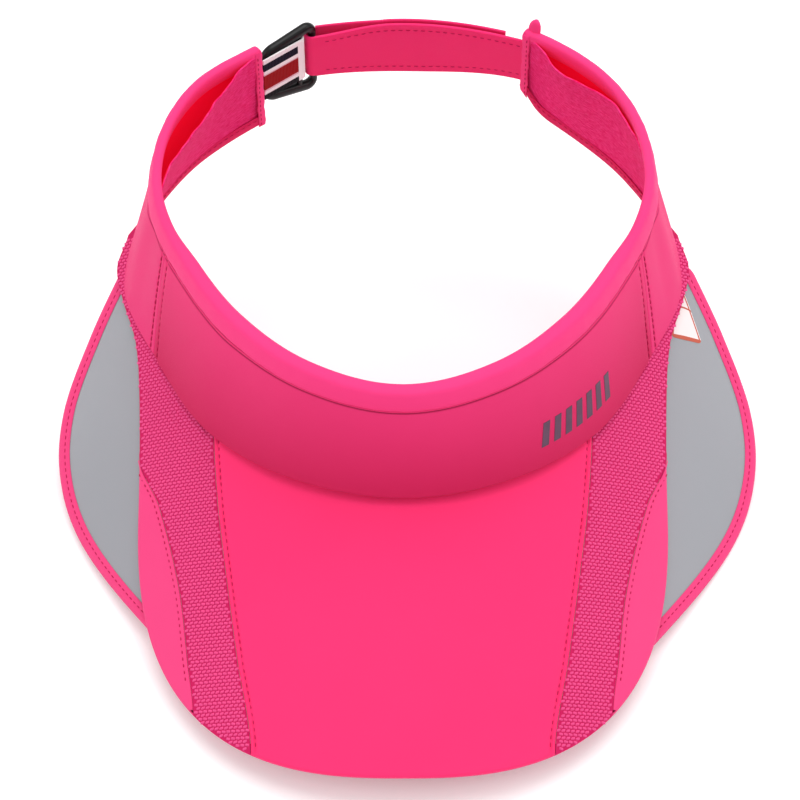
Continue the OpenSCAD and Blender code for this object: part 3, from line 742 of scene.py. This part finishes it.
def facing(name, end, side, node):
    s = np.linspace(-0.015, 1.0, 60)
    per_mm = 180 / math.pi / 88
    loop = [(-2.6, -1.1), (-2.2, -1.3), (0.2, -1.35), (0.6, -1.1), (0.75, 0.5), (0.75, 2.4), (0.6, 3.5), (0.2, 3.8),
            (-2.2, 3.75), (-2.6, 3.5), (-2.6, 3.3), (0.2, 3.2), (0.3, 2.0), (0.25, -0.9), (-2.6, -0.9)]
    rings = []
    for v in s:
        wobble = 0.14 * math.sin(v * 21) + 0.1 * math.sin(v * 47)
        trim = 1.0 - 0.25 * max(0.0, (v - 0.9) / 0.1) ** 2
        rings.append([band(side * (end + (x + wobble) * per_mm), v, 1.2 + (y - 1.2) * trim) for x, y in loop])
    swept(name, rings, "binding", nodes=[node], slot="smooth_fabric", sharp=70)
    a = side * (end - 1.6 * per_mm)
    stitches("facings", band(a + 0 * s, s, 3.7), band(a + 0 * s, s, 4.7), 1.7, 0.8, 0.22)
    stitches("facings", band(a + 0 * s, s, -1.25), band(a + 0 * s, s, -2.3), 1.7, 0.8, 0.22)


facing("end_facing_left", LEFT_END, -1, "left_end_facing")
facing("end_facing_right", RIGHT_END, 1, "right_end_facing")


def crown_tape():
    """Tape behind the brim's rear edge, up on to the sweatband."""
    rings = []
    for a in np.linspace(-74, 74, 120):
        x, t = crown(a)
        rims = [band(a, v, sweat_d(a, v) + 0.9) for v in (0.085, 0.0)] + [brim(x, t, 0.3), brim(x, t, UNDER_Z - 1)]
        r = [math.hypot(p[0] - RING_X, p[1] - RING_Y) - 0.6 for p in rims]
        z = [float(p[2]) for p in rims]
        r[2] = min(r[1], r[2])
        loop = list(zip(r, z)) + [(q - 0.9, h) for q, h in list(zip(r, z))[::-1]]
        c, s = math.cos(math.radians(a)), math.sin(math.radians(a))
        rings.append([(RING_X + p * s, RING_Y - p * c, h) for p, h in loop])
    swept("crown_tape_piece", rings, "tape", nodes=["crown_tape"], slot="sweatband_fabric")


crown_tape()


def binding_end():
    """The rolled strip's end, which stands up as a small rounded tab at the right rear end."""
    angle = np.linspace(0, 2 * math.pi, 16, endpoint=False)
    at = 146.3
    rings = []
    for k, width in ((-1.5, 2.6), (0.5, 2.7), (2.2, 2.6), (3.6, 2.3), (4.7, 1.7), (5.4, 0.9), (5.6, 0.2)):
        rings.append([band_down(at + np.cos(g) * width * 0.63, -0.001,
                                0.4 - 0.25 * k + np.sin(g) * min(1.1, width)) + [0, 0, k] for g in angle])
    swept("binding_tab", rings, "binding", slot="smooth_fabric", sharp=80)


binding_end()


# ---- brim ----

def brim_center():
    half = float(curve(MESH_IN, 95))
    tip = float(edge_t(half))
    u = spaced(100, 130, seams=(1.8,)) * 2 - 1
    v = spaced(60, 104)
    rear_x, rear_t = crown(MESH_TURN * u)
    t = mix(rear_t[:, None], edge_t(u * half)[:, None], v[None])
    bow = (rear_x - u * curve(MESH_IN, rear_t))[:, None]
    x = u[:, None] * curve(MESH_IN, np.minimum(tip, t)) + (1 - v[None]) * bow
    from_side = (1 - np.abs(u))[:, None] * 65
    pucker = 1 + 0.35 * np.sin(t * 2.1 + 2 * np.sin(t * 0.7))
    h = (0.12 - turned((u + 1) / 2, 130)[:, None] - turned(v, 104, 0.9, 0.75)[None] * (v > 0.5)
         - groove(from_side, 1.8, 0.6, 0.4) * pucker + 0.05 * np.exp(-((from_side - 4.5) / 2.2) ** 2) * pucker)
    uv = np.stack([x, t], -1)
    sheet("brim_center", brim(x, t, h), brim(x, t, -0.85), "pink", uv, nodes=["brim_center_panel"],
          slot="smooth_fabric")
    for side in (-1, 1):
        tt = np.linspace(-25, tip - 1.2, 160)
        xx = side * (curve(MESH_IN, tt) - 1.8)
        stitches("brim_center", brim(xx, tt, -0.2), brim(xx, tt, 0.9), 1.8, 0.9, 0.25)


brim_center()


def brim_side(side, name, node):
    t = np.linspace(-19, 77, 90)
    v = spaced(12, 14)
    x0 = curve(MESH_OUT, t) + 0.15
    x1 = np.maximum(edge_x(t), x0 + 0.4)
    x = mix(x0[:, None], x1[:, None], v[None])
    width = (x1 - x0)[:, None]
    inner = np.clip(1 - v[None] * width / 0.9, 0, 1)
    outer = np.clip(1 - (1 - v[None]) * width / 0.9, 0, 1)
    roll = 0.6 * (1 - np.sqrt(1 - inner ** 2)) + 0.75 * (1 - np.sqrt(1 - outer ** 2))
    h = 0.12 - np.minimum(0.8, roll) - groove(v[None] * width, 1.5) * (width > 3)
    T = t[:, None] + 0 * x
    sheet(name, brim(side * x, T, h), brim(side * x, T, -0.85), "edge", np.stack([x, T], -1), nodes=[node],
          slot="smooth_fabric")
    tt = np.linspace(-14, 68, 120)
    xx = side * (curve(MESH_OUT, tt) + 1.65)
    stitches("brim_sides", brim(xx, tt, -0.12), brim(xx, tt, 0.9), 1.5, 1.0)


brim_side(-1, "brim_edge_left", "brim_side_left")
brim_side(1, "brim_edge_right", "brim_side_right")


def brim_mesh(side, name, node):
    """Mesh insert: a dark backing, whose colour is painted shade for the holes between the loops, with the knit's
    raised loops standing on it in rows.
    """
    inner = float(curve(MESH_IN, 95))
    tip, corner = float(edge_t(inner)), 78.0
    rear_t = float(crown(MESH_TURN)[1])
    v = np.linspace(0, 1, 60)
    u = np.linspace(0, 1, 12)
    a, b = mix(tip, rear_t, v), mix(corner, -21, v)
    qi = np.stack([curve(MESH_IN, a) + 0.15, a], -1)
    qo = np.stack([curve(MESH_OUT, b), b], -1)
    front = mix(qi[:, None], qo[:, None], u[None, :, None])
    bulge = edge_t(mix(inner, float(curve(MESH_OUT, corner)), u)) - mix(tip, corner, u)
    front[..., 1] += np.maximum(0, 1 - 4 * v)[:, None] * bulge[None]
    w = np.linspace(0, 1, 60)[1:]
    b2 = mix(-21, -110, w)
    ci = np.stack(crown(mix(MESH_TURN, 97, w)), -1)
    ci[:, 0] -= 1.6 * np.clip((w - 0.2) / 0.25, 0, 1)
    rear = mix(ci[:, None], np.stack([edge_x(b2), b2], -1)[:, None], u[None, :, None])
    q = np.concatenate([front, rear])
    X, T = side * q[..., 0], q[..., 1]
    sheet(name, brim(X, T, -0.3), brim(X, T, -0.88), "mesh_low", np.stack([X, T], -1), nodes=[node],
          slot="mesh_fabric")
    line = np.stack(crown(np.linspace(36, 97, 80)), -1)
    line = line[np.argsort(line[:, 1])]
    k = 5
    px, pt = np.meshgrid(np.linspace(-1, 1, k), np.linspace(-1, 1, k), indexing="ij")
    dome = ((1 - px ** 4) * (1 - pt ** 4)) ** 0.5
    one = quads(k, k)
    edge = [(0, j) for j in range(k - 1)] + [(i, k - 1) for i in range(k - 1)] + [
        (k - 1, j) for j in range(k - 1, 0, -1)] + [(i, 0) for i in range(k - 1, 0, -1)]
    one.append(tuple(i * k + j for i, j in edge))
    pitch_x, pitch_t = 1.7, 1.3
    points, uvs = [], []
    for row in range(int(-108 / pitch_t), int(100 / pitch_t)):
        t0 = row * pitch_t
        hi = float(curve(MESH_OUT, t0)) if t0 > -21 else float(edge_x(t0))
        lo = float(curve(MESH_IN, t0)) if t0 > rear_t else 0.0
        if t0 < line[-1, 1]:
            lo = max(lo, float(np.interp(t0, line[:, 1], line[:, 0])))
        tail = min(1.0, max(0.0, (-40 - t0) / 25))
        lo, hi = lo - 1.8 * tail, hi + 0.5 * tail
        for c in range(int(50 / pitch_x), int(112 / pitch_x)):
            x0 = (c + 0.5 * (row % 2)) * pitch_x
            if x0 - 0.6 < lo or x0 + 0.6 > hi or t0 + 0.5 > float(edge_t(x0)):
                continue
            bx = x0 + 0.76 * px
            bt = t0 + 0.52 * pt + 0.16 * px * (1 if row % 2 else -1)
            points.append(brim(side * bx, bt, -0.36 + 0.42 * dome))
            uvs.append(np.stack([bx, bt], -1))
    faces = [tuple(n * k * k + i for i in f) for n in range(len(points)) for f in one]
    solid(name + "_knit", np.concatenate([p.reshape(-1, 3) for p in points]), faces, "mesh",
          uv=np.concatenate([p.reshape(-1, 2) for p in uvs]), slot="mesh_fabric", sharp=80)


brim_mesh(-1, "mesh_insert_left", "brim_mesh_left")
brim_mesh(1, "mesh_insert_right", "brim_mesh_right")


def along_rim(name, loop, mats, n=300, back=-66.0, inset=0.0, **kw):
    """Strip along the brim's outline; loop holds its section as (outward, up) points."""
    q = rim(n, back)
    rings = []
    for p, o in zip(q, outward(q)):
        w = np.array([[p[0] + o[0] * (y - inset), p[1] + o[1] * (y - inset), z] for y, z in loop])
        rings.append(brim(w[:, 0], w[:, 1], w[:, 2]))
    return swept(name, rings, mats, **kw)


def full_layer(name, h, t, inset, mat, node, slot):
    u = np.linspace(-1, 1, 110)
    v = np.linspace(0, 1, 40)
    a, b = np.stack(crown(73 * u), -1), np.stack(outline(90 * u, inset), -1)
    q = mix(a[:, None], b[:, None], v[None, :, None])
    return sheet(name, brim(q[..., 0], q[..., 1], h), brim(q[..., 0], q[..., 1], h - t), mat, q, nodes=[node],
                 slot=slot)


full_layer("brim_lining_piece", -2.5, 0.6, 0.5, "lining", "brim_lining", "lining_fabric")
full_layer("brim_under_piece", UNDER_Z, 1.0, 1.2, "lining", "brim_under_panel", "lining_fabric")
EDGE_WRAP = [(-0.35, -0.8), (-0.1, -0.9), (0.05, -1.6), (0.0, -2.4), (-0.4, -3.0), (-1.4, -3.25), (-2.6, -3.2),
             (-2.6, -3.0), (-1.0, -2.9), (-0.6, -2.4), (-0.6, -1.2)]
UNDER_BINDING = [(-3.4, -5.95), (-0.6, -5.92), (0.0, -6.2), (0.15, -6.65), (0.0, -7.1), (-0.6, -7.4), (-3.4, -7.35),
                 (-3.4, -7.15), (-0.7, -7.1), (-0.7, -6.15), (-3.4, -6.1)]
along_rim("brim_edge_wrap", EDGE_WRAP, "edge", slot="smooth_fabric", sharp=70)
along_rim("under_binding", UNDER_BINDING, "edge", inset=1.2, slot="smooth_fabric", sharp=70)
q = rim(300)
w = q - outward(q) * 3.7
stitches("under_edge", brim(w[:, 0], w[:, 1], -7.38), brim(w[:, 0], w[:, 1], -8.4), 2.0, 1.0, 0.2)


# ---- lens ----

def lens():
    u = np.linspace(-1, 1, 200)
    v = np.linspace(0, 1, 24)
    q = mix(lens_edge(LENS_IN, u)[:, None], lens_edge(LENS_OUT, u)[:, None], v[None, :, None])
    x, t = q[..., 0], q[..., 1]
    piece = sheet("lens_sheet", brim(x, t, LENS_Z), brim(x, t, LENS_Z - LENS_T), "lens", q, body=None)
    half = GUIDE_W / 2 + GUIDE_PLAY
    front = GUIDE_T + GUIDE_PLAY
    rear = front - (GUIDE_L + LENS_TRAVEL + 2 * GUIDE_PLAY)
    cube = [(0, 1, 3, 2), (4, 6, 7, 5), (0, 4, 5, 1), (2, 3, 7, 6), (0, 2, 6, 4), (1, 5, 7, 3)]
    for side in (-1, 1):
        middle = LENS_SHIFT + side * SLOT_X
        box = [brim(middle + dx, t, h) for dx in (-half, half) for t in (front, rear) for h in (-9, 1)]
        cut = solid("slot", box, cube, "lens", body=None)
        m = piece.modifiers.new("slot", "BOOLEAN")
        m.operation, m.object, m.solver = "DIFFERENCE", cut, "EXACT"
        bpy.context.view_layer.update()
        mesh = bpy.data.meshes.new_from_object(piece.evaluated_get(bpy.context.evaluated_depsgraph_get()))
        piece.modifiers.clear()
        piece.data = mesh
        bpy.data.objects.remove(cut)
    piece.data.set_sharp_from_angle(angle=math.radians(50))
    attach(piece, "lens")
    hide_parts("lens")


lens()


def lens_rim(loop, n=320):
    """Rings of points along the lens's outer edge, and on round its rear tips towards the band."""
    p = lens_edge(LENS_OUT, np.linspace(-1, 1, n))
    turn = np.radians(np.linspace(0, TIP_TURN, 10)[1:])
    for side in (-1, 1):
        tip, before = (p[-1], p[-2]) if side > 0 else (p[0], p[1])
        ahead = unit(tip - before)
        inward = np.array([ahead[1], -ahead[0]]) * side
        more = tip + TIP_R * (np.sin(turn)[:, None] * ahead + (1 - np.cos(turn))[:, None] * inward)
        p = np.concatenate([p, more]) if side > 0 else np.concatenate([more[::-1], p])
    n = len(p)
    out = outward(p)
    w = np.array([[[p[i, 0] + out[i, 0] * y, p[i, 1] + out[i, 1] * y, z] for y, z in loop] for i in range(n)])
    return brim(w[..., 0], w[..., 1], LENS_Z - LENS_T / 2 + w[..., 2])


PIPING = [(-3.6, 0.6), (-3.3, 0.85), (-2.2, 1.0), (-1.7, 0.85), (-0.6, 1.15), (0.3, 1.05), (0.85, 0.5), (0.95, 0.0),
          (0.85, -0.5), (0.3, -1.05), (-0.6, -1.15), (-1.7, -0.85), (-2.2, -1.0), (-3.3, -0.85), (-3.6, -0.6),
          (-3.6, -0.42), (0.0, -0.42), (0.0, 0.42), (-3.6, 0.42)]
swept("lens_piping_piece", lens_rim(PIPING), "edge", body="lens", nodes=["lens_piping"], slot="smooth_fabric",
      sharp=60)
for z in (0.86, -0.86):
    line = lens_rim([(-1.7, z), (-1.7, z * 2)])
    stitches("lens_piping", line[:, 0], line[:, 1], 1.8, 0.8, 0.2, body="lens")


def label():
    """Peel-off label: narrow at the rear, wide at the front, with round corners."""
    v = (1 - np.cos(np.linspace(0, math.pi, 40))) / 2
    u = np.linspace(0, 1, 24)
    length = 19.0
    t = mix(-88.5, -69.5, v)
    middle, half = mix(105.2, 107.4, v), mix(1.7, 6.2, v ** 0.9)
    end = np.minimum(v, 1 - v) * length
    round_ = 1.6
    pull = round_ - np.sqrt(np.maximum(0, round_ ** 2 - np.maximum(0, round_ - end) ** 2))
    half = half - pull * np.minimum(1, half / round_) * 0.98
    x = middle[:, None] + half[:, None] * (2 * u[None] - 1)
    T = t[:, None] + 0 * x
    edge = np.minimum(half[:, None] * np.minimum(2 * u, 2 - 2 * u)[None], end[:, None])
    along = v[:, None] + 0.05 * (1 - (2 * u[None] - 1) ** 2) * np.sin(math.pi * v)[:, None]
    uv = np.stack([edge, along], -1)
    sheet("label_piece", brim(x, T, LENS_Z + 0.17), brim(x, T, LENS_Z + 0.02), "label", uv, body="lens",
          nodes=["lens_label"], slot="label")


label()


# ---- print ----

def print_bars():
    """Row of slanted bars on the forehead; first, pitch, wide and lean are angles round the band."""
    count, first, pitch, wide, lean = 7, 27.5, 3, 1.7, 6
    low, high = 0.17, 0.37
    points, faces = [], []
    for i in range(count):
        s = np.linspace(low, high, 10)
        u = np.linspace(0, wide, 6)
        a = first + i * pitch + u[:, None] + lean * (s[None] - low)
        S = s[None] + 0 * a
        lift = front_folds(a, S)
        n, m = a.shape
        base = len(points) * 2 * n * m
        grid = np.concatenate([band(a, S, -0.13 - lift).reshape(-1, 3), band(a, S, 0.05 - lift).reshape(-1, 3)])
        points.append(grid)
        faces += [tuple(base + k for k in f) for f in sheet_faces(n, m)]
    solid("print_bars_piece", np.concatenate(points), faces, "print", nodes=["print_bars"], slot="print", sharp=40)


print_bars()


# ---- rear strap ----

def webbing(name, phi, near, far, mats, inset=0.0, edge=3.0, **kw):
    """Stretch of webbing between two angles, from d = near(angle) to far(angle). Stitches pull it in at the distance
    edge from each long edge."""
    u = np.linspace(0, 1, 80)
    p = mix(phi[0], phi[1], u)
    v = spaced(14, STRAP_H)
    z = mix((strap_low(p) + inset)[:, None], (strap_top(p) - inset)[:, None], v[None])
    roll = turned(v, STRAP_H, 0.8, 0.35)[None]
    dip = groove(v * STRAP_H, edge)[None] + groove((1 - v) * STRAP_H, edge)[None] if edge else 0
    P = p[:, None] + 0 * z
    n, f = near(p)[:, None] + (roll + dip), far(p)[:, None] - (roll + dip)
    uv = np.stack([np.radians(P) * STRAP_R, z - STRAP_Z], -1)
    return sheet(name, strap(P, f, z), strap(P, n, z), mats, uv, **kw)


webbing("rear_strap", (-11.2, 20.5), lambda p: -0.7 + 0 * p, lambda p: 0.7 + 0 * p, "strap",
        nodes=["strap_main"], slot="smooth_fabric")
webbing("loop_patch", (-3, 16), lambda p: 0.72 + 0 * p, lambda p: 1.25 + 0 * p, "hook", 2.0, None,
        nodes=["strap_loop_patch"], slot="hook_and_loop")
webbing("hook_patch", (5, 15), lambda p: tail_d(p) - 1.1, lambda p: tail_d(p) - 0.58, "hook", 3.0, None,
        body="strap_tail", nodes=["strap_hook_patch"], slot="hook_and_loop")
tail = webbing("strap_tail_piece", (-10.8, 17), lambda p: tail_d(p) - 0.55, lambda p: tail_d(p) + 0.55, "strap",
               body=None, nodes=["strap_tail"], slot="smooth_fabric")
middle = STRAP_Z + STRAP_H / 2
bend_start, bend_end = (strap(phi, tail_d(phi), middle) * 0.001 for phi in (-10.9, -8.0))
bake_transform(tail)
p = np.linspace(-10, 20, 120)
for z in (strap_low(p) + 3, strap_top(p) - 3):
    stitches("strap", strap(p, -0.55, z), strap(p, -1.6, z), 1.9, 1.0, 0.2)
    on_tail = (p > -7.6) & (p < 16.2)
    e, z = p[on_tail], z[on_tail]
    stitches("strap_tail", strap(e, tail_d(e) + 0.42, z), strap(e, tail_d(e) + 1.4, z), 1.9, 1.0, 0.2,
             body="strap_tail")


def fold(name, centre, turn, z0, height, inner, thick, legs, mat, node, slot, sharp=60):
    """Webbing that turns round an upright bar, with a leg on each side."""
    ring = np.radians(np.linspace(270, 90, 40))
    c, s = math.cos(turn), math.sin(turn)

    def path(r):
        arc = np.stack([r * np.cos(ring), r * np.sin(ring)], -1)
        a = np.stack([np.linspace(legs[0], 0.01, 14), np.full(14, -r)], -1)
        b = np.stack([np.linspace(0.01, legs[1], 14), np.full(14, r)], -1)
        return np.concatenate([a, arc, b])

    v = spaced(12, height, 0.7)
    z = z0 + v * height

    def grid(r):
        q = path(r)
        xy = np.stack([centre[0] + q[:, 0] * c - q[:, 1] * s, centre[1] + q[:, 0] * s + q[:, 1] * c], -1)
        return np.concatenate([np.repeat(xy[:, None], len(z), 1), np.repeat(z[None, :, None], len(xy), 0)], -1)

    outer, inside = grid(inner + thick), grid(inner)
    k = turned(v, height, 0.7, 0.35)[None, :, None]
    middle = (outer + inside) / 2
    outer, inside = mix(outer, middle, k), mix(inside, middle, k)
    uv = grid_uv(distance(path(inner + thick)), v * height)
    return sheet(name, outer, inside, mat, uv, nodes=[node], slot=slot, sharp=sharp)


bar = RIBBON_BAR + SLIDE_BARS[1] * np.array([math.cos(BUCKLE_TURN), math.sin(BUCKLE_TURN)])
fold("strap_fold_piece", bar, math.radians(11.5), STRAP_Z + 0.5, STRAP_H - 4.5, FOLD_IN, 1.1, (1, 1.2), "strap",
     "strap_fold", "smooth_fabric")
fold("ribbon_piece", RIBBON_BAR, RIBBON_TURN + math.pi, STRAP_Z + 1, 21.0, BAR_R + 0.3, 0.8, (6, 18.5), "ribbon",
     "webbing_tab", "striped_ribbon")


def buckle():
    """Slide buckle: a moulded frame of rounded section with a bar across its middle."""
    x0, x1 = SLIDE_BARS
    z0, z1 = 1.7, BUCKLE_H - 1.7
    corner = 3.2
    narrow = 0.74       # its height at the ribbon's end, as a part of its height at the strap's end
    path = []
    for cx, cz, start in ((x1 - corner, z1 - corner, 0), (x0 + corner, z1 - corner, 90),
                          (x0 + corner, z0 + corner, 180), (x1 - corner, z0 + corner, 270)):
        for g in np.radians(np.linspace(start, start + 90, 12)):
            path.append((cx + corner * math.cos(g), cz + corner * math.sin(g)))
    path = np.array(path)
    far = np.clip(path[:, 0] / x0, 0, 1)
    path[:, 1] = mix(path[:, 1], BUCKLE_H / 2 + (path[:, 1] - BUCKLE_H / 2) * narrow, far)
    line = np.concatenate([path, path[:1]])
    line = resample(line, 161)[:-1]
    d = unit(np.roll(line, -1, 0) - np.roll(line, 1, 0))
    out = np.stack([d[:, 1], -d[:, 0]], -1)
    g = np.linspace(0, 2 * math.pi, 16, endpoint=False)
    section = np.stack([np.sign(f(g)) * np.abs(f(g)) ** 0.8 for f in (np.cos, np.sin)], -1)
    c, s = math.cos(BUCKLE_TURN), math.sin(BUCKLE_TURN)
    base = np.array([RIBBON_BAR[0], RIBBON_BAR[1], BAND_TOP - BUCKLE_DROP])
    points = []
    for p, o in zip(line, out):
        rail = abs(o[1])
        wide, thick = mix(1.5, 2.1, rail), mix(1.5, 1.9, rail)
        for a, b in section:
            x, z, y = p[0] + o[0] * a * wide, p[1] + o[1] * a * wide, b * thick
            points.append((x * c - y * s, x * s + y * c, z))
    m = len(g)
    faces = bar_faces(len(line), m, ring=True)
    k = len(points)
    rows = np.linspace(z0, z1, 12)
    for z in rows:
        for a in g:
            x, y = 1.25 * math.cos(a), 1.25 * math.sin(a)
            points.append((x * c - y * s, x * s + y * c, z))
    faces += [tuple(k + i for i in f[:1] + f[:0:-1]) for f in bar_faces(len(rows), m)]
    return solid("slide_buckle", np.array(points) + base, faces, "black", body="buckle", nodes=["buckle_loop"],
                 slot="buckle_plastic", sharp=40)


buckle()
sew()

for node, mat in (("band_foam", "foam"), ("brim_stiffener", "board"), ("lens_guides", "guide")):
    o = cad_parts[node]
    for k in o.material_slots:
        k.material = M[mat]


# ---- floor, light and camera ----

def floor():
    mesh = bpy.data.meshes.new("studio_floor")
    r = 3.0
    mesh.from_pydata([(-r, -r, -0.0004), (r, -r, -0.0004), (r, r, -0.0004), (-r, r, -0.0004)], [], [(0, 1, 2, 3)])
    n = Nodes("studio_paper")
    n.finish(n.blend(n.noise(3.0, 1.0), [0.93, 0.93, 0.93, 1], [0.91, 0.91, 0.912, 1]), Roughness=0.9,
             Emission_Color=[1, 1, 1, 1], Emission_Strength=0.14)
    mesh.materials.append(n.m)
    o = bpy.data.objects.new("studio_floor", mesh)
    bpy.context.scene.collection.objects.link(o)


def area(name, at, size, power, target=(0, 0, 0.05)):
    data = bpy.data.lights.new(name, "AREA")
    data.shape, data.size, data.energy = "SQUARE", size, power
    o = bpy.data.objects.new(name, data)
    bpy.context.scene.collection.objects.link(o)
    o.location = at
    o.rotation_euler = (Vector(target) - Vector(at)).to_track_quat("-Z", "Y").to_euler()


floor()
world = bpy.data.worlds.new("studio")
bpy.context.scene.world = world
world.use_nodes = True
back = world.node_tree.nodes["Background"]
back.inputs[0].default_value = (1, 1, 1, 1)
back.inputs[1].default_value = 0.75
area("softbox_top", (0.1, 0.45, 1.6), 1.4, 16)
area("softbox_left", (-1.5, -0.5, 1.0), 1.0, 5)
area("softbox_right", (1.4, -0.3, 1.1), 1.0, 5)
bpy.context.scene.view_settings.view_transform = "Standard"

camera = bpy.data.cameras.new("camera")
camera.sensor_width, camera.lens = 36.0, 121.5
camera.shift_x = -0.00375
camera.clip_start = 0.05
eye = bpy.data.objects.new("camera", camera)
bpy.context.scene.collection.objects.link(eye)
look = Vector((0, math.cos(math.radians(52)), -math.sin(math.radians(52))))
eye.location = Vector((RING_X, RING_Y - 59, BAND_TOP - 57)) * 0.001 - look
eye.rotation_euler = look.to_track_quat("-Z", "Y").to_euler()
bpy.context.scene.camera = eye

bpy.context.view_layer.update()
